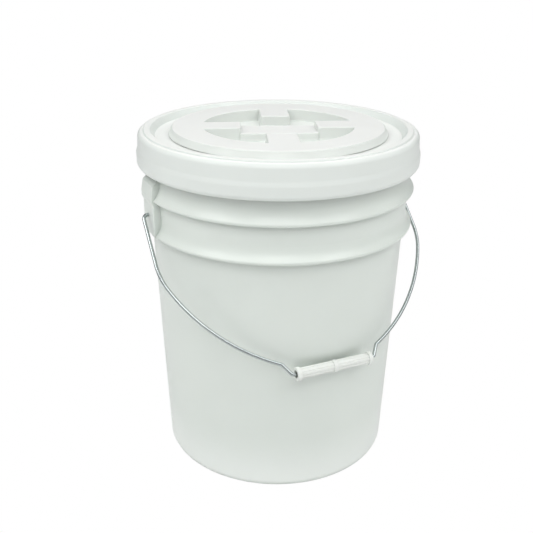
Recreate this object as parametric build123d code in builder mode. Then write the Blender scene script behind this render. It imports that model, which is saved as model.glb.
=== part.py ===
from build123d import *

import os
from math import cos, radians, sin

# Five-gallon plastic pail with a press-on adapter ring, a threaded spin-off lid and a wire bail.
#
# Millimetres, +Z up. The origin is the centre of the foot's resting plane, on the pail's axis.
# The bail pivots about a line parallel to X. At rest it hangs forward, towards -Y, with its grip
# against the wall, and the lid is screwed down.

# --- pail: a tapered round shell with two stiffening ribs and two bail ears ---------------------
WALL = 2.4                # moulded wall thickness
FOOT_R = 131.9            # outside radius of the foot, before its corner is rounded
FOOT_FLAT_R = 121.0       # inner edge of the ring that the pail stands on
FOOT_CORNER_R = 6.0
BASE_UNDERSIDE_Z = 5.0    # underside of the base panel, above the floor
BASE_T = 3.0
BODY_LOW_R = 134.1        # outside radius just above the foot
BODY_LOW_Z = 8.0
BODY_HIGH_R = 145.6       # outside radius where the body meets the lower rib
COLLAR_R = 147.5          # outside radius between and above the ribs
RIM_TOP_Z = 388.2
RIM_INNER_R = COLLAR_R - WALL
RIM_LIP_R = 151.6         # widest point of the lip that the ring snaps under
RIM_LIP_Z = 381.0
LOWER_RIB_Z = 285.0       # underside of the lower rib
LOWER_RIB_NOSE_R = 154.2
LOWER_RIB_RISE = 18.0     # height over which the lower rib blends into the collar
UPPER_RIB_Z = 325.6
UPPER_RIB_NOSE_R = 154.7
UPPER_RIB_RISE = 21.0
RIB_NOSE_H = 4.0          # height of the rounded edge of each rib
RIB_UNDERCUT = 1.0        # how far the underside of a rib rises towards the wall

# --- bail ears -----------------------------------------------------------------------------------
PIVOT_Z = 308.0
EAR_FACE_X = 155.0
EAR_LIP_X = 157.0         # the ear stands out further where the upper rib crosses it
EAR_HALF_W = 18.0
EAR_TOP_Z = 349.0
EAR_ROOT_X = COLLAR_R - 2.0   # buried in the wall over the ear's whole width
EAR_PLATE_T = 4.2         # plate that carries the pivot hole
EAR_POCKET_HALF_W = 9.0
EAR_POCKET_TOP_Z = PIVOT_Z + 9.0
EAR_POCKET_FLOOR_X = COLLAR_R + 0.3
PIVOT_CLEARANCE = 0.08

# --- adapter ring --------------------------------------------------------------------------------
RING_TOP_Z = 392.5        # top of the raised bead that covers the pail's rim
RING_BEAD_IN_R = 142.8
RING_BEAD_OUT_R = 150.4
RING_SKIRT_R = 157.2      # upper half of the skirt
RING_BAND_R = 159.3       # slightly larger band round the lower half
RING_SKIRT_BOTTOM_Z = 354.0
RING_SKIRT_IN_R = 154.9
SEAT_Z = 385.0            # flat floor of the ring, on which the lid's gasket seals
SEAT_OUT_R = 138.2
SEAT_T = 2.8
THROAT_R = 116.0          # inside of the threaded throat
THROAT_T = 2.8
THROAT_BOTTOM_Z = 352.0

# --- spin lid ------------------------------------------------------------------------------------
LID_TOP_Z = 393.7
LID_T = 2.8
LID_EDGE_R = 119.8        # top edge of the lid
LID_FLANGE_R = 122.6      # foot of the lid's outer wall
LID_FLANGE_Z = SEAT_Z + 0.6
LID_SKIRT_R = 112.4       # outside of the threaded skirt, at the thread's root
LID_SKIRT_BOTTOM_Z = 358.0
RECESS_R = 85.0
RECESS_FLOOR_Z = 379.5
ARM_HALF_W = 17.0         # half-width of the four arms at their top
ARM_END_R = 42.5          # inner ends of the arms
HUB_HALF_L = 42.5
HUB_HALF_W = 20.0
HUB_TOP_Z = 388.2
LID_TURN = -20.3          # angle of the lid's cross when it is screwed down
POCKET_DRAFT = 4.0        # degrees that the walls of the finger pockets lean
BLOCK_CORNER_R = 3.0
BLOCK_EDGE_R = 1.3        # rounding of the top edges of the arms and the hub
ARM_ROOT_R = RECESS_R + 5.0   # the arms run this far out, into the rim of the lid

# --- thread shared by the ring and the lid --------------------------------------------------------
THREAD_LEAD = 12.0
THREAD_ROOT_W = 4.4       # axial width of a thread at its root
THREAD_CREST_W = 2.6
THREAD_H = 2.4            # radial height
THREAD_BITE = 0.6         # how far a thread's section reaches into the wall behind it
THREAD_TURNS = 1.3
RING_THREAD_Z = 361.5     # height at which the ring's thread starts
THREAD_GAP = 0.5          # axial gap between the two threads when the lid is down

# --- gaskets --------------------------------------------------------------------------------------
RIM_GASKET_R = 147.2
RIM_GASKET_W = 4.6
RIM_GASKET_T = 1.4
LID_SEAL_R = 118.2        # centre line of the lid's O-ring
LID_SEAL_D = 3.0

# --- bail -----------------------------------------------------------------------------------------
WIRE_R = 2.0
BAIL_SWING = 45.4         # degrees that the bail hangs forward of straight down
BAIL_DROP = 208.5         # distance of the grip's axis from the pivot
HOOK_R = 5.6              # bend where the wire enters an ear
LEG_X = 161.4
LEG_END = 60.5            # distance from the pivot at which the straight leg ends
LEG_SPLAY = 0.6           # degrees
SHOULDER_R = 75.0
SHOULDER_TURN = 22.9      # degrees
SWEEP_R = 203.0
SWEEP_TURN = 41.2
JOG_R = 5.0
JOG_TURN = 31.5
HEAD_R = 3.4              # flattened head that keeps the wire in its ear
HEAD_T = 1.8

# --- grip -----------------------------------------------------------------------------------------
GRIP_HALF_L = 45.5
GRIP_R = 6.1
GRIP_COLLAR_R = 7.3
GRIP_COLLAR_W = 4.5
GRIP_BORE_R = 4.2
GRIP_WEB_T = 3.0
GRIP_WEB_X = 12.0         # inner webs' distance from the middle, and outer webs' from the ends
GRIP_MID_R = 6.8
GRIP_FLUTES = 10
GRIP_FLUTE_R = 0.9

os.makedirs("parts", exist_ok=True)


def save(piece, name):
    """Label one piece and write it to its own file."""
    piece.label = name
    export_step(piece, f"parts/{name}.step")


def body_radius(z):
    """Outside radius of the pail's tapered body at height z."""
    slope = (BODY_HIGH_R - BODY_LOW_R) / (LOWER_RIB_Z - BODY_LOW_Z)
    return BODY_LOW_R + slope * (z - BODY_LOW_Z)


# --- pail -----------------------------------------------------------------------------------------
def rib_outline(z, nose_r, rise, foot_r):
    """Draw one rib of the pail's outside, from its underside up to the collar."""
    nose_in = nose_r - RIB_NOSE_H / 2
    low = Line((foot_r, z + RIB_UNDERCUT), (nose_in, z))
    nose_top = (nose_r - 0.4, z + RIB_NOSE_H)
    nose = ThreePointArc(low @ 1, (nose_r, z + RIB_NOSE_H / 2), nose_top)
    drop = rise - RIB_NOSE_H
    step = nose_top[0] - COLLAR_R
    blend_r = (drop**2 + step**2) / (2 * step)
    mid = radians(45) * drop / blend_r
    half = (COLLAR_R + blend_r * (1 - cos(mid)), z + rise - blend_r * sin(mid))
    ThreePointArc(nose @ 1, half, (COLLAR_R, z + rise))


RIM_CORNER = 1.2
base_top_z = BASE_UNDERSIDE_Z + BASE_T
lower_blend_z = LOWER_RIB_Z + LOWER_RIB_RISE
upper_blend_z = UPPER_RIB_Z + UPPER_RIB_RISE
inner_low_r = body_radius(base_top_z) - WALL
inner_step_z = LOWER_RIB_Z - 4

with BuildPart() as pail:
    with BuildSketch(Plane.YZ):
        with BuildLine():
            foot = Line((FOOT_FLAT_R, 0), (FOOT_R - FOOT_CORNER_R * 0.6, 0))
            body_start = (body_radius(BODY_LOW_Z), BODY_LOW_Z)
            corner = ThreePointArc(foot @ 1, (FOOT_R - 0.6, FOOT_CORNER_R * 0.35), body_start)
            Line(corner @ 1, (BODY_HIGH_R, LOWER_RIB_Z + RIB_UNDERCUT))
            rib_outline(LOWER_RIB_Z, LOWER_RIB_NOSE_R, LOWER_RIB_RISE, BODY_HIGH_R)
            Line((COLLAR_R, lower_blend_z), (COLLAR_R, UPPER_RIB_Z + RIB_UNDERCUT))
            rib_outline(UPPER_RIB_Z, UPPER_RIB_NOSE_R, UPPER_RIB_RISE, COLLAR_R)
            Polyline(
                (COLLAR_R, upper_blend_z),
                (COLLAR_R, RIM_LIP_Z - 2.4),
                (RIM_LIP_R - 0.6, RIM_LIP_Z - 0.8),
                (RIM_LIP_R, RIM_LIP_Z),
                (RIM_LIP_R - 0.2, RIM_LIP_Z + 1.4),
                (COLLAR_R + 1.5, RIM_TOP_Z - RIM_CORNER),
                (COLLAR_R + 0.6, RIM_TOP_Z),
                (RIM_INNER_R + RIM_CORNER, RIM_TOP_Z),
                (RIM_INNER_R, RIM_TOP_Z - RIM_CORNER),
                (RIM_INNER_R, lower_blend_z - 6),
                (BODY_HIGH_R - WALL, inner_step_z),
                (inner_low_r + 0.1, base_top_z + 5),
            )
            RadiusArc((inner_low_r + 0.1, base_top_z + 5), (inner_low_r - 5, base_top_z), 5.5)
            Polyline(
                (inner_low_r - 5, base_top_z),
                (0, base_top_z),
                (0, BASE_UNDERSIDE_Z),
                (FOOT_FLAT_R - 1.5, BASE_UNDERSIDE_Z),
                (FOOT_FLAT_R, 0),
            )
        make_face()
    revolve(axis=Axis.Z)

    # ears: a thick vertical pad on each side, hollow behind the plate that holds the wire
    for side in (1, -1):
        with BuildSketch(Plane.XZ.offset(-EAR_HALF_W)):
            with BuildLine():
                Polyline(
                    (side * EAR_ROOT_X, LOWER_RIB_Z + 0.4),
                    (side * (EAR_FACE_X - 1.5), LOWER_RIB_Z + 0.4),
                    (side * EAR_FACE_X, LOWER_RIB_Z + 3),
                    (side * EAR_FACE_X, UPPER_RIB_Z - 4),
                    (side * EAR_LIP_X, UPPER_RIB_Z + 1.5),
                    (side * EAR_LIP_X, UPPER_RIB_Z + 7),
                    (side * EAR_FACE_X, EAR_TOP_Z - 5),
                    (side * (COLLAR_R + 1.5), EAR_TOP_Z),
                    (side * EAR_ROOT_X, EAR_TOP_Z),
                    close=True,
                )
            make_face()
        extrude(amount=2 * EAR_HALF_W)

    corner_edges = pail.edges().filter_by(
        lambda e: abs(abs(e.center().Y) - EAR_HALF_W) < 0.01 and abs(e.center().X) > EAR_FACE_X - 0.2
    )
    fillet(corner_edges, radius=1.5)

    pocket_x = (EAR_POCKET_FLOOR_X + EAR_FACE_X - EAR_PLATE_T) / 2
    pocket_depth = EAR_FACE_X - EAR_PLATE_T - EAR_POCKET_FLOOR_X
    pocket_h = EAR_POCKET_TOP_Z - LOWER_RIB_Z + 2
    for side in (1, -1):
        with Locations((side * pocket_x, 0, EAR_POCKET_TOP_Z - pocket_h / 2)):
            Box(pocket_depth, 2 * EAR_POCKET_HALF_W, pocket_h, mode=Mode.SUBTRACT)
        with Locations((side * (EAR_FACE_X - EAR_PLATE_T / 2), 0, PIVOT_Z)):
            Cylinder(
                WIRE_R + PIVOT_CLEARANCE,
                EAR_PLATE_T + 2,
                rotation=(0, 90, 0),
                mode=Mode.SUBTRACT,
            )
save(pail.part, "pail")


# --- thread ---------------------------------------------------------------------------------------
def thread_ridge(root_r, height, start_z, start_angle):
    """One helical ridge. A positive height stands outward from root_r, a negative one inward."""
    out = 1 if height > 0 else -1
    helix = Helix(pitch=THREAD_LEAD, height=THREAD_LEAD * THREAD_TURNS, radius=root_r)
    start = Plane(origin=(root_r, 0, 0), x_dir=(1, 0, 0), z_dir=(helix % 0))
    with BuildPart(mode=Mode.PRIVATE) as ridge:
        with BuildLine():
            add(helix)
        with BuildSketch(start):
            with BuildLine():
                Polyline(
                    (-out * THREAD_BITE, THREAD_ROOT_W / 2),
                    (height, THREAD_CREST_W / 2),
                    (height, -THREAD_CREST_W / 2),
                    (-out * THREAD_BITE, -THREAD_ROOT_W / 2),
                    close=True,
                )
            make_face()
        sweep(is_frenet=True)
    return Pos(0, 0, start_z) * (Rot(0, 0, start_angle) * ridge.part)


# --- adapter ring ---------------------------------------------------------------------------------
band_low_z = RING_SKIRT_BOTTOM_Z + 5.5
band_high_z = band_low_z + 8.5
catch_z = RIM_LIP_Z - 2.6     # top of the bead that snaps under the pail's lip
channel_z = RIM_TOP_Z + RIM_GASKET_T + 0.2

ring_thread = thread_ridge(THROAT_R, -THREAD_H, RING_THREAD_Z, 0)

with BuildPart() as snap_ring:
    with BuildSketch(Plane.XZ):
        with BuildLine():
            Polyline((RING_SKIRT_IN_R, RING_SKIRT_BOTTOM_Z), (RING_BAND_R - 3.2, RING_SKIRT_BOTTOM_Z))
            low_edge = ThreePointArc(
                (RING_BAND_R - 3.2, RING_SKIRT_BOTTOM_Z),
                (RING_BAND_R - 0.8, RING_SKIRT_BOTTOM_Z + 2.2),
                (RING_BAND_R, band_low_z),
            )
            Line(low_edge @ 1, (RING_BAND_R, band_high_z))
            Spline(
                (RING_BAND_R, band_high_z),
                (RING_SKIRT_R + 0.6, band_high_z + 6),
                tangents=((0, 1), (-0.02, 1)),
            )
            Line((RING_SKIRT_R + 0.6, band_high_z + 6), (RING_SKIRT_R, SEAT_Z + 0.6))
            shoulder = ThreePointArc(
                (RING_SKIRT_R, SEAT_Z + 0.6),
                (RING_SKIRT_R - 1.7, SEAT_Z + 4.3),
                (RING_BEAD_OUT_R + 1.0, RING_TOP_Z - 1.7),
            )
            bead_low = Line(shoulder @ 1, (RING_BEAD_OUT_R + 0.5, RING_TOP_Z - 1.6))
            bead_out = ThreePointArc(
                bead_low @ 1,
                (RING_BEAD_OUT_R, RING_TOP_Z - 0.5),
                (RING_BEAD_OUT_R - 1.2, RING_TOP_Z),
            )
            bead_top = Line(bead_out @ 1, (RING_BEAD_IN_R + 1.2, RING_TOP_Z))
            bead_in = ThreePointArc(
                bead_top @ 1,
                (RING_BEAD_IN_R + 0.25, RING_TOP_Z - 0.4),
                (RING_BEAD_IN_R - 0.5, RING_TOP_Z - 1.3),
            )
            inner_wall = Line(bead_in @ 1, (SEAT_OUT_R + 0.7, SEAT_Z + 1.0))
            root = ThreePointArc(
                inner_wall @ 1,
                (SEAT_OUT_R + 0.2, SEAT_Z + 0.3),
                (SEAT_OUT_R - 0.7, SEAT_Z),
            )
            Polyline(
                root @ 1,
                (THROAT_R + 0.6, SEAT_Z),
                (THROAT_R, SEAT_Z - 0.6),
                (THROAT_R, THROAT_BOTTOM_Z + 0.6),
                (THROAT_R + 0.6, THROAT_BOTTOM_Z),
                (THROAT_R + THROAT_T, THROAT_BOTTOM_Z),
                (THROAT_R + THROAT_T, SEAT_Z - SEAT_T),
                (RIM_INNER_R - 3.0, SEAT_Z - SEAT_T),
                (RIM_INNER_R - 0.5, SEAT_Z - SEAT_T + 2.5),
                (RIM_INNER_R - 0.5, channel_z),
                (COLLAR_R + 2.0, channel_z),
                (RIM_LIP_R + 0.5, RIM_LIP_Z + 1.4),
                (RIM_LIP_R + 0.5, catch_z + 0.8),
                (COLLAR_R + 2.4, catch_z),
                (COLLAR_R + 2.4, catch_z - 1.4),
                (RING_SKIRT_IN_R, catch_z - 6),
                (RING_SKIRT_IN_R, RING_SKIRT_BOTTOM_Z),
            )
        make_face()
    revolve(axis=Axis.Z)
    add(ring_thread)
save(snap_ring.part, "snap_ring")


# --- spin lid -------------------------------------------------------------------------------------
cup_r = RECESS_R + LID_T
groove_top_z = SEAT_Z + LID_SEAL_D + 0.2
groove_in_r = LID_SEAL_R - LID_SEAL_D / 2 - 0.3
groove_out_r = LID_SEAL_R + LID_SEAL_D / 2 + 0.3
lid_under_z = LID_TOP_Z - LID_T
lid_frame = Plane.XY.rotated((0, 0, LID_TURN))


def lid_block(half_x, half_y, x, y, z_low, z_high, edge_r):
    """Block in the lid's turned frame, its walls leaning out by the draft towards the bottom."""
    with BuildPart() as block:
        with BuildSketch(lid_frame.offset(z_high)):
            with Locations((x, y)):
                RectangleRounded(2 * half_x, 2 * half_y, BLOCK_CORNER_R)
        extrude(amount=-(z_high - z_low), taper=-POCKET_DRAFT)
        if edge_r:
            fillet(block.faces().sort_by(Axis.Z)[-1].edges(), radius=edge_r)
    return block.part


def cross(half_w, end_r, out_r, z_low, z_high, edge_r):
    """The four arms of the lid's cross, from their inner ends out to the recess wall."""
    half_l = (out_r - end_r) / 2
    mid = (out_r + end_r) / 2
    arms = []
    for sign in (1, -1):
        arms.append(lid_block(half_l, half_w, sign * mid, 0, z_low, z_high, edge_r))
        arms.append(lid_block(half_w, half_l, 0, sign * mid, z_low, z_high, edge_r))
    return arms


inset = LID_T - 0.6
block_low_z = RECESS_FLOOR_Z - 0.5
hollow_low_z = RECESS_FLOOR_Z - LID_T - 1
hollow_end_r = ARM_END_R + inset
hub_under_z = HUB_TOP_Z - LID_T
arms = cross(ARM_HALF_W, ARM_END_R, ARM_ROOT_R, block_low_z, LID_TOP_Z, BLOCK_EDGE_R)
arm_hollows = cross(ARM_HALF_W - inset, hollow_end_r, RECESS_R - 0.5, hollow_low_z, lid_under_z, 0)
hub = lid_block(HUB_HALF_L + 1, HUB_HALF_W, 0, 0, block_low_z, HUB_TOP_Z, BLOCK_EDGE_R)
hub_hollow = lid_block(HUB_HALF_L, HUB_HALF_W - inset, 0, 0, hollow_low_z, hub_under_z, 0)
lid_thread = thread_ridge(LID_SKIRT_R, THREAD_H, RING_THREAD_Z - THREAD_ROOT_W - THREAD_GAP, 0)

with BuildPart() as spin_lid:
    with BuildSketch(Plane.XZ):
        with BuildLine():
            Polyline(
                (0, RECESS_FLOOR_Z),
                (RECESS_R - 2.2, RECESS_FLOOR_Z),
                (RECESS_R - 1.0, RECESS_FLOOR_Z + 0.8),
                (RECESS_R, LID_TOP_Z - 1.2),
                (RECESS_R + 0.4, LID_TOP_Z - 0.3),
                (RECESS_R + 1.4, LID_TOP_Z),
                (LID_EDGE_R - 2.0, LID_TOP_Z),
            )
            edge = ThreePointArc(
                (LID_EDGE_R - 2.0, LID_TOP_Z),
                (LID_EDGE_R - 0.55, LID_TOP_Z - 0.6),
                (LID_EDGE_R + 0.2, LID_TOP_Z - 2.0),
            )
            Polyline(
                edge @ 1,
                (LID_FLANGE_R, LID_FLANGE_Z + 0.5),
                (LID_FLANGE_R - 0.5, LID_FLANGE_Z),
                (groove_out_r, LID_FLANGE_Z),
                (groove_out_r, groove_top_z),
                (groove_in_r, groove_top_z),
                (LID_SKIRT_R, groove_top_z - 0.6),
                (LID_SKIRT_R, LID_SKIRT_BOTTOM_Z + 1),
                (LID_SKIRT_R - 1, LID_SKIRT_BOTTOM_Z),
                (LID_SKIRT_R - LID_T, LID_SKIRT_BOTTOM_Z),
                (LID_SKIRT_R - LID_T, lid_under_z),
                (cup_r, lid_under_z),
                (cup_r - 1.0, RECESS_FLOOR_Z - LID_T),
                (0, RECESS_FLOOR_Z - LID_T),
                (0, RECESS_FLOOR_Z),
            )
        make_face()
    revolve(axis=Axis.Z)
    add(arms)
    add(hub)
    # the cross and the hub are hollow from below, at the same wall thickness
    add(arm_hollows, mode=Mode.SUBTRACT)
    add(hub_hollow, mode=Mode.SUBTRACT)
    add(lid_thread)
save(spin_lid.part, "spin_lid")


# --- gaskets --------------------------------------------------------------------------------------
with BuildPart() as ring_gasket:
    with BuildSketch(Plane.XZ):
        with Locations((RIM_GASKET_R, RIM_TOP_Z + 0.1 + RIM_GASKET_T / 2)):
            RectangleRounded(RIM_GASKET_W - 1.2, RIM_GASKET_T, 0.5)
    revolve(axis=Axis.Z)
save(ring_gasket.part, "ring_gasket")

with BuildPart() as lid_gasket:
    with BuildSketch(Plane.XZ):
        with Locations((LID_SEAL_R, SEAT_Z + 0.1 + LID_SEAL_D / 2)):
            Circle(LID_SEAL_D / 2)
    revolve(axis=Axis.Z)
save(lid_gasket.part, "lid_gasket")


# --- bail -----------------------------------------------------------------------------------------
swing = radians(BAIL_SWING)
bail_plane = Plane(origin=(0, 0, PIVOT_Z), x_dir=(1, 0, 0), z_dir=(0, cos(swing), -sin(swing)))
wire_end_x = EAR_FACE_X - EAR_PLATE_T - 0.4 - HEAD_T
splay = radians(LEG_SPLAY)
leg_top = LEG_X + (LEG_END - HOOK_R) * sin(splay)

with BuildPart() as bail_wire:
    with BuildLine(bail_plane) as route:
        stub = Line((wire_end_x, 0), (LEG_X - HOOK_R, 0))
        hook = JernArc(stub @ 1, stub % 1, HOOK_R, 90 - LEG_SPLAY)
        leg = Line(hook @ 1, (leg_top, LEG_END))
        shoulder_bend = JernArc(leg @ 1, leg % 1, SHOULDER_R, SHOULDER_TURN)
        sweep_bend = JernArc(shoulder_bend @ 1, shoulder_bend % 1, SWEEP_R, SWEEP_TURN)
        jog = JernArc(sweep_bend @ 1, sweep_bend % 1, JOG_R, -JOG_TURN)
        jog_end = bail_plane.to_local_coords(jog @ 1)
        heading = radians(SHOULDER_TURN + SWEEP_TURN - JOG_TURN - LEG_SPLAY)
        fall = (BAIL_DROP - jog_end.Y - JOG_R * (1 - sin(heading))) / cos(heading)
        fall_end = (jog_end.X - fall * sin(heading), jog_end.Y + fall * cos(heading))
        dropper = Line((jog_end.X, jog_end.Y), fall_end)
        into_grip = JernArc(dropper @ 1, dropper % 1, JOG_R, 90 - heading / radians(1))
        Line(into_grip @ 1, bail_plane.from_local_coords((0, BAIL_DROP)))
        mirror(about=Plane.YZ)
    with BuildSketch(Plane(origin=route.wires()[0] @ 0, z_dir=route.wires()[0] % 0)):
        Circle(WIRE_R)
    sweep()
    for side in (1, -1):
        with Locations((side * (wire_end_x + HEAD_T / 2), 0, PIVOT_Z)):
            Cylinder(HEAD_R, HEAD_T, rotation=(0, 90, 0))
save(bail_wire.part, "bail_wire")


# --- grip -----------------------------------------------------------------------------------------
grip_centre = bail_plane.from_local_coords((0, BAIL_DROP))
grip_plane = Plane(origin=grip_centre, x_dir=(0, 1, 0), z_dir=(1, 0, 0))
collar_centres = (0, GRIP_HALF_L - GRIP_COLLAR_W / 2, GRIP_COLLAR_W / 2 - GRIP_HALF_L)
web_centres = [side * x for side in (1, -1) for x in (GRIP_WEB_X, GRIP_HALF_L - GRIP_WEB_X)]

with BuildPart() as bail_grip:
    with BuildSketch(grip_plane):
        Circle(GRIP_R)
        with PolarLocations(GRIP_R + 0.4, GRIP_FLUTES):
            Circle(GRIP_FLUTE_R, mode=Mode.SUBTRACT)
    extrude(amount=GRIP_HALF_L, both=True)
    for x in collar_centres:
        collar_r = GRIP_COLLAR_R if x else GRIP_MID_R
        with BuildSketch(grip_plane.offset(x)):
            Circle(collar_r)
        extrude(amount=GRIP_COLLAR_W / 2, both=True)
    rims = bail_grip.edges().filter_by(GeomType.CIRCLE).filter_by(lambda e: e.radius > GRIP_R + 0.2)
    fillet(rims, radius=0.5)
    with BuildSketch(grip_plane):
        Circle(GRIP_BORE_R)
    extrude(amount=GRIP_HALF_L + 1, both=True, mode=Mode.SUBTRACT)
    for x in web_centres:
        with BuildSketch(grip_plane.offset(x)):
            Circle(GRIP_BORE_R + 0.3)
            Circle(WIRE_R + PIVOT_CLEARANCE, mode=Mode.SUBTRACT)
        extrude(amount=GRIP_WEB_T / 2, both=True)
save(bail_grip.part, "bail_grip")
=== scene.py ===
import math

import bpy
from mathutils import Matrix, Vector

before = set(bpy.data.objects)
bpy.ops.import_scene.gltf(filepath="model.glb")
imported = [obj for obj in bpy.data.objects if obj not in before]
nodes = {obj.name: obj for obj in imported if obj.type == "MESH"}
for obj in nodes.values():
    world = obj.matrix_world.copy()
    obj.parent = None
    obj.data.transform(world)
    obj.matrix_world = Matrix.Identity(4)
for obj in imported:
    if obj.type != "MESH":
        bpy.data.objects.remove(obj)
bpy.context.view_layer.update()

scene = bpy.context.scene

# Lengths are in metres, angles in degrees and light in watts.
NOISE_MIDDLE = (0.3, 0.7)          # range that holds most of a noise texture's values
POLYETHYLENE_IOR = 1.51
SUBSURFACE_WEIGHT = 0.10
SUBSURFACE_COLOUR_REACH = (1.0, 0.95, 0.85)
SUBSURFACE_DEPTH = 0.004
TOP_LIGHT_NORMAL = (0.80, 0.98)        # part of the normal pointing up at which the painted top light on level faces starts and is full
SCUFF_TINT = (0.96, 0.96, 0.95, 1)
SCUFF_ROUGHNESS = 0.06             # roughness that a full scuff adds
CORNER_SHADE_REACH = 0.012                # how near a corner's other wall has to be for the painted corner shade to show
CORNER_SHADE_SAMPLES = 8
FLOOR_HALF = 20.0
FLOOR_CELLS = 8
FILL_STRENGTH = 0.20               # the studio's own light
LENS = 54.53
SENSOR_WIDTH = 36.0
CAMERA_ROLL = 0.294
VIEW_TURN = -25.0                  # azimuth of the camera round the pail, from straight in front of it
EYE = (0.0, -0.89788, 0.59609)     # in the camera's upright frame
AIM = (-0.01249, 0.0, 0.22063)
LIGHT_TARGET_Z = 0.2               # height on the pail's axis that the lights point at


# --- material helpers -----------------------------------------------------------------------------
class Nodes:
    """Small wrapper that adds and joins shader nodes."""

    def __init__(self, name):
        self.mat = bpy.data.materials.new(name)
        self.mat.use_nodes = True
        self.tree = self.mat.node_tree
        self.tree.nodes.clear()
        self.out = self.add("ShaderNodeOutputMaterial")
        self.bsdf = self.add("ShaderNodeBsdfPrincipled")
        self.link(self.bsdf, "BSDF", self.out, "Surface")
        self.coord = self.add("ShaderNodeTexCoord")

    def add(self, kind, **settings):
        node = self.tree.nodes.new(kind)
        for key, value in settings.items():
            setattr(node, key, value)
        return node

    def link(self, a, out, b, into):
        self.tree.links.new(a.outputs[out], b.inputs[into])

    def scaled(self, scale):
        mapping = self.add("ShaderNodeMapping")
        mapping.inputs["Scale"].default_value = scale
        self.link(self.coord, "Object", mapping, "Vector")
        return mapping

    def noise(self, scale, detail=3.0, rough=0.5, stretch=(1, 1, 1)):
        source = self.scaled(stretch)
        node = self.add("ShaderNodeTexNoise")
        node.inputs["Scale"].default_value = scale
        node.inputs["Detail"].default_value = detail
        node.inputs["Roughness"].default_value = rough
        self.link(source, "Vector", node, "Vector")
        return node

    def ramp(self, node, out, stops):
        ramp = self.add("ShaderNodeValToRGB")
        elements = ramp.color_ramp.elements
        while len(elements) < len(stops):
            elements.new(0.5)
        for element, (place, colour) in zip(elements, stops):
            element.position = place
            element.color = (*colour, 1)
        self.link(node, out, ramp, "Fac")
        return ramp

    def span(self, node, out, low, high):
        """Map a texture's middle range to low..high."""
        span = self.add("ShaderNodeMapRange")
        span.inputs["From Min"].default_value = NOISE_MIDDLE[0]
        span.inputs["From Max"].default_value = NOISE_MIDDLE[1]
        span.inputs["To Min"].default_value = low
        span.inputs["To Max"].default_value = high
        self.link(node, out, span, "Value")
        return span

    def bumps(self, layers):
        """layers: (node, output, strength, distance) from coarse to fine."""
        last = None
        for node, out, strength, distance in layers:
            bump = self.add("ShaderNodeBump")
            bump.inputs["Strength"].default_value = strength
            bump.inputs["Distance"].default_value = distance
            self.link(node, out, bump, "Height")
            if last is not None:
                self.link(last, "Normal", bump, "Normal")
            last = bump
        self.link(last, "Normal", self.bsdf, "Normal")


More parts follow.
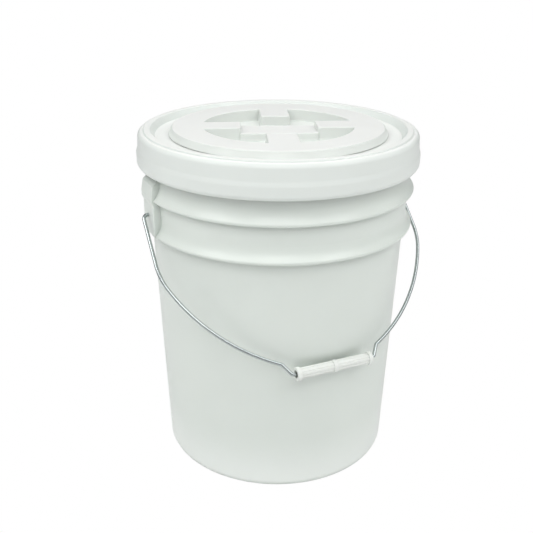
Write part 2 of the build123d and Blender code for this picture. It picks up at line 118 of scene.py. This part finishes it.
def moulded(name, tint, dark, rough, gloss_spread, flow, painted_light_by_height=None, painted_top_light=None, corner_shade_amount=1.0, shine=0.5):
    """Moulded polyethylene: faint cloudy colour, mould texture, flow lines and fine handling scuffs.
    flow is the stretch of the flow lines along each axis.
    grade = (low height, high height, colour) is a colour painted at the low height as light and shade,
    standing in for the light passing through the wall: painted shade in the lid's thin recess, painted
    light over the pail's solid base.
    upward is the lighter colour painted on level faces as light from above, grime is how strongly
    painted shade darkens corners, and shine is the strength of the gloss."""
    m = Nodes(name)
    cloud = m.noise(9.0, 3.0, 0.55)
    colour = m.ramp(cloud, "Fac", [(0.30, dark), (0.70, tint)])
    last = (colour, "Color")
    # Painted top light: level faces take a lighter colour that stands in for light falling from above.
    if painted_top_light:
        facing = m.add("ShaderNodeNewGeometry")
        tilt = m.add("ShaderNodeSeparateXYZ")
        m.link(facing, "Normal", tilt, "Vector")
        level = m.add("ShaderNodeMapRange", interpolation_type="SMOOTHSTEP")
        level.inputs["From Min"].default_value = TOP_LIGHT_NORMAL[0]
        level.inputs["From Max"].default_value = TOP_LIGHT_NORMAL[1]
        m.link(tilt, "Z", level, "Value")
        top_lit = m.add("ShaderNodeMix", data_type="RGBA")
        m.link(level, "Result", top_lit, "Factor")
        m.link(*last, top_lit, "A")
        top_lit.inputs["B"].default_value = (*painted_top_light, 1)
        last = (top_lit, "Result")
    # Painted light and shade by height: the colour at the low height is painted shade in the lid's
    # recess and painted light over the pail's base.
    if painted_light_by_height:
        low, high, shade = painted_light_by_height
        place = m.add("ShaderNodeSeparateXYZ")
        m.link(m.coord, "Object", place, "Vector")
        depth = m.add("ShaderNodeMapRange", interpolation_type="SMOOTHSTEP")
        depth.inputs["From Min"].default_value = low
        depth.inputs["From Max"].default_value = high
        m.link(place, "Z", depth, "Value")
        height_toned = m.add("ShaderNodeMix", data_type="RGBA")
        m.link(depth, "Result", height_toned, "Factor")
        height_toned.inputs["A"].default_value = (*shade, 1)
        m.link(*last, height_toned, "B")
        last = (height_toned, "Result")
    scuffs = m.noise(300.0, 4.0, 0.6, stretch=(1.0, 1.0, 6.0))
    scuff_mask = m.ramp(scuffs, "Fac", [(0.60, (0, 0, 0)), (0.85, (0.5, 0.5, 0.5))])
    worn = m.add("ShaderNodeMix", data_type="RGBA", blend_type="MULTIPLY")
    m.link(scuff_mask, "Color", worn, "Factor")
    m.link(*last, worn, "A")
    worn.inputs["B"].default_value = SCUFF_TINT
    # Painted shade: ambient occlusion darkens the colour in corners, creases and recesses.
    corner_occlusion = m.add("ShaderNodeAmbientOcclusion", samples=CORNER_SHADE_SAMPLES)
    corner_occlusion.inputs["Distance"].default_value = CORNER_SHADE_REACH
    dust_and_crease_shade = m.ramp(corner_occlusion, "AO", [(0.30, (0.74, 0.75, 0.74)), (0.90, (1, 1, 1))])
    crease_shaded = m.add("ShaderNodeMix", data_type="RGBA", blend_type="MULTIPLY")
    crease_shaded.inputs["Factor"].default_value = corner_shade_amount
    m.link(worn, "Result", crease_shaded, "A")
    m.link(dust_and_crease_shade, "Color", crease_shaded, "B")
    m.link(crease_shaded, "Result", m.bsdf, "Base Color")
    gloss = m.noise(26.0, 5.0, 0.65)
    spread = m.span(gloss, "Fac", rough - gloss_spread, rough + gloss_spread)
    rougher = m.add("ShaderNodeMath", operation="MULTIPLY_ADD")
    m.link(scuff_mask, "Color", rougher, 0)
    rougher.inputs[1].default_value = SCUFF_ROUGHNESS
    m.link(spread, "Result", rougher, 2)
    m.link(rougher, "Value", m.bsdf, "Roughness")
    m.bsdf.inputs["IOR"].default_value = POLYETHYLENE_IOR
    m.bsdf.inputs["Specular IOR Level"].default_value = shine
    m.bsdf.inputs["Subsurface Weight"].default_value = SUBSURFACE_WEIGHT
    m.bsdf.inputs["Subsurface Radius"].default_value = SUBSURFACE_COLOUR_REACH
    m.bsdf.inputs["Subsurface Scale"].default_value = SUBSURFACE_DEPTH
    wave = m.noise(7.0, 2.0, 0.5, stretch=flow)
    grain = m.noise(1500.0, 2.0, 0.5)
    m.bumps([
        (wave, "Fac", 0.25, 0.0012),
        (scuffs, "Fac", 0.02, 0.00006),
        (grain, "Fac", 0.10, 0.00006),
    ])
    return m.mat


def steel():
    """Bright drawn galvanised wire: fine die lines along it and a faint zinc bloom."""
    m = Nodes("galvanised_wire")
    bloom = m.noise(320.0, 4.0, 0.55)
    colour = m.ramp(bloom, "Fac", [(0.30, (0.41, 0.45, 0.45)), (0.70, (0.47, 0.51, 0.51))])
    m.link(colour, "Color", m.bsdf, "Base Color")
    m.bsdf.inputs["Metallic"].default_value = 1.0
    spread = m.span(bloom, "Fac", 0.20, 0.26)
    m.link(spread, "Result", m.bsdf, "Roughness")
    streak = m.noise(900.0, 3.0, 0.6, stretch=(1.0, 1.0, 0.15))
    m.bumps([(streak, "Fac", 0.03, 0.00004)])
    return m.mat


def rubber():
    """Matt black gasket rubber with a powdery bloom."""
    m = Nodes("gasket_epdm")
    dust_and_crease_shade = m.noise(80.0, 6.0, 0.7)
    colour = m.ramp(dust_and_crease_shade, "Fac", [(0.35, (0.012, 0.012, 0.013)), (0.75, (0.045, 0.045, 0.044))])
    m.link(colour, "Color", m.bsdf, "Base Color")
    spread = m.span(dust_and_crease_shade, "Fac", 0.55, 0.8)
    m.link(spread, "Result", m.bsdf, "Roughness")
    fine = m.noise(2200.0, 2.0, 0.5)
    m.bumps([(fine, "Fac", 0.2, 0.00008)])
    return m.mat


looks = {
    "pail": moulded(
        "pail_hdpe",
        tint=(0.735, 0.785, 0.740),
        dark=(0.715, 0.765, 0.722),
        rough=0.32,
        gloss_spread=0.035,
        flow=(1, 1, 0.25),
        # painted light: lighter colour over the pail's base
        painted_light_by_height=(0.0, 0.075, (0.845, 0.885, 0.850)),
    ),
    "snap_ring": moulded(
        "ring_hdpe",
        tint=(0.765, 0.805, 0.775),
        dark=(0.750, 0.790, 0.760),
        rough=0.32,
        gloss_spread=0.03,
        flow=(1, 1, 2.5),
        # painted top light on the ring's level faces
        painted_top_light=(0.845, 0.865, 0.840),
        # painted shade in corners at half strength
        corner_shade_amount=0.5,
        shine=0.35,
    ),
    "spin_lid": moulded(
        "lid_hdpe",
        tint=(0.715, 0.745, 0.715),
        dark=(0.700, 0.730, 0.700),
        rough=0.33,
        gloss_spread=0.04,
        flow=(1, 1, 1),
        # painted shade: darker colour in the lid's recess
        painted_light_by_height=(0.3798, 0.3830, (0.800, 0.830, 0.800)),
        # painted top light on the lid's level faces
        painted_top_light=(0.855, 0.870, 0.848),
        # weak painted shade in corners
        corner_shade_amount=0.15,
    ),
    "bail_grip": moulded(
        "grip_hdpe",
        tint=(0.80, 0.825, 0.79),
        dark=(0.78, 0.805, 0.77),
        rough=0.32,
        gloss_spread=0.03,
        flow=(0.3, 1, 1),
    ),
    "bail_wire": steel(),
    "ring_gasket": rubber(),
}
looks["lid_gasket"] = looks["ring_gasket"]
for name, node in nodes.items():
    node.data.materials.clear()
    node.data.materials.append(looks[name])


# --- floor ----------------------------------------------------------------------------------------
def make_floor():
    """Wide sheet of white studio paper, matt to the pail's light and plain white to the camera."""
    cell = 2 * FLOOR_HALF / FLOOR_CELLS
    row = FLOOR_CELLS + 1
    verts = [(i * cell - FLOOR_HALF, j * cell - FLOOR_HALF, 0.0) for j in range(row) for i in range(row)]
    faces = [
        (j * row + i, j * row + i + 1, (j + 1) * row + i + 1, (j + 1) * row + i)
        for j in range(FLOOR_CELLS)
        for i in range(FLOOR_CELLS)
    ]
    mesh = bpy.data.meshes.new("studio_floor")
    mesh.from_pydata(verts, [], faces)
    floor = bpy.data.objects.new("studio_floor", mesh)
    scene.collection.objects.link(floor)
    m = Nodes("studio_paper")
    mottled = m.noise(3.0, 4.0, 0.5)
    colour = m.ramp(mottled, "Fac", [(0.3, (0.89, 0.89, 0.89)), (0.7, (0.91, 0.91, 0.91))])
    m.link(colour, "Color", m.bsdf, "Base Color")
    m.bsdf.inputs["Roughness"].default_value = 0.9
    m.bsdf.inputs["Specular IOR Level"].default_value = 0.1
    shine = m.add("ShaderNodeEmission")
    shine.inputs["Strength"].default_value = 1.0
    path = m.add("ShaderNodeLightPath")
    mix = m.add("ShaderNodeMixShader")
    m.link(path, "Is Camera Ray", mix, "Fac")
    m.tree.links.new(m.bsdf.outputs["BSDF"], mix.inputs[1])
    m.tree.links.new(shine.outputs["Emission"], mix.inputs[2])
    m.link(mix, "Shader", m.out, "Surface")
    mesh.materials.append(m.mat)


make_floor()


# --- camera ---------------------------------------------------------------------------------------
def turned(x, y, z):
    """A point given in the camera's upright frame, in the pail's frame."""
    return Matrix.Rotation(math.radians(VIEW_TURN), 3, "Z") @ Vector((x, y, z))


eye = turned(*EYE)
aim = turned(*AIM)
forward = (aim - eye).normalized()
right = forward.cross(Vector((0, 0, 1))).normalized()
up = right.cross(forward)
roll = math.radians(CAMERA_ROLL)
tilted_right = right * math.cos(roll) + up * math.sin(roll)
tilted_up = up * math.cos(roll) - right * math.sin(roll)
camera_data = bpy.data.cameras.new("camera")
camera_data.lens = LENS
camera_data.sensor_width = SENSOR_WIDTH
camera = bpy.data.objects.new("camera", camera_data)
camera.matrix_world = Matrix((tilted_right, tilted_up, -forward)).transposed().to_4x4()
camera.matrix_world.translation = eye
scene.collection.objects.link(camera)
scene.camera = camera


# --- light ----------------------------------------------------------------------------------------
def softbox(name, azimuth, elevation, distance, width, height, watts):
    """Large soft area light aimed at the pail, its azimuth counted from the camera's side."""
    a, e = math.radians(azimuth), math.radians(elevation)
    place = turned(
        distance * math.sin(a) * math.cos(e),
        -distance * math.cos(a) * math.cos(e),
        distance * math.sin(e) + LIGHT_TARGET_Z,
    )
    data = bpy.data.lights.new(name, "AREA")
    data.shape = "RECTANGLE"
    data.size = width
    data.size_y = height
    data.energy = watts
    light = bpy.data.objects.new(name, data)
    light.location = place
    light.rotation_euler = (Vector((0, 0, LIGHT_TARGET_Z)) - place).to_track_quat("-Z", "Y").to_euler()
    scene.collection.objects.link(light)
    return light


# name, azimuth, elevation, distance, width, height, watts
for settings in (
    ("softbox_left", -60, 48, 2.0, 0.8, 1.2, 12.6),
    ("softbox_right", 60, 48, 2.0, 0.8, 1.2, 10.2),
    ("strip_left", -50, 18, 2.2, 0.6, 1.6, 2.0),
    ("strip_right", 50, 18, 2.2, 0.6, 1.6, 2.2),
    ("side_left", -100, 30, 2.0, 1.0, 1.4, 3.0),
    ("side_right", 100, 30, 2.0, 1.0, 1.4, 4.2),
    ("softbox_front", 0, 45, 2.2, 1.2, 1.0, 13.0),
    ("softbox_top", 0, 70, 2.2, 1.4, 1.0, 2.6),
):
    softbox(*settings)
back_light = softbox("softbox_back", 180, 55, 2.4, 2.0, 1.2, 17.5)
back_light.visible_glossy = False      # it fills the top without a glare on level faces

# The world is weak light to the pail and a plain white backdrop to the camera.
world = bpy.data.worlds.new("studio")
world.use_nodes = True
sky = world.node_tree
fill = sky.nodes["Background"]
fill.inputs["Color"].default_value = (1.0, 1.0, 1.0, 1)
fill.inputs["Strength"].default_value = FILL_STRENGTH
backdrop = sky.nodes.new("ShaderNodeBackground")
backdrop.inputs["Color"].default_value = (1.0, 1.0, 1.0, 1)
backdrop.inputs["Strength"].default_value = 1.0
path = sky.nodes.new("ShaderNodeLightPath")
mix = sky.nodes.new("ShaderNodeMixShader")
sky.links.new(path.outputs["Is Camera Ray"], mix.inputs[0])
sky.links.new(fill.outputs[0], mix.inputs[1])
sky.links.new(backdrop.outputs[0], mix.inputs[2])
sky.links.new(mix.outputs[0], sky.nodes["World Output"].inputs["Surface"])
scene.world = world
scene.view_settings.view_transform = "Standard"
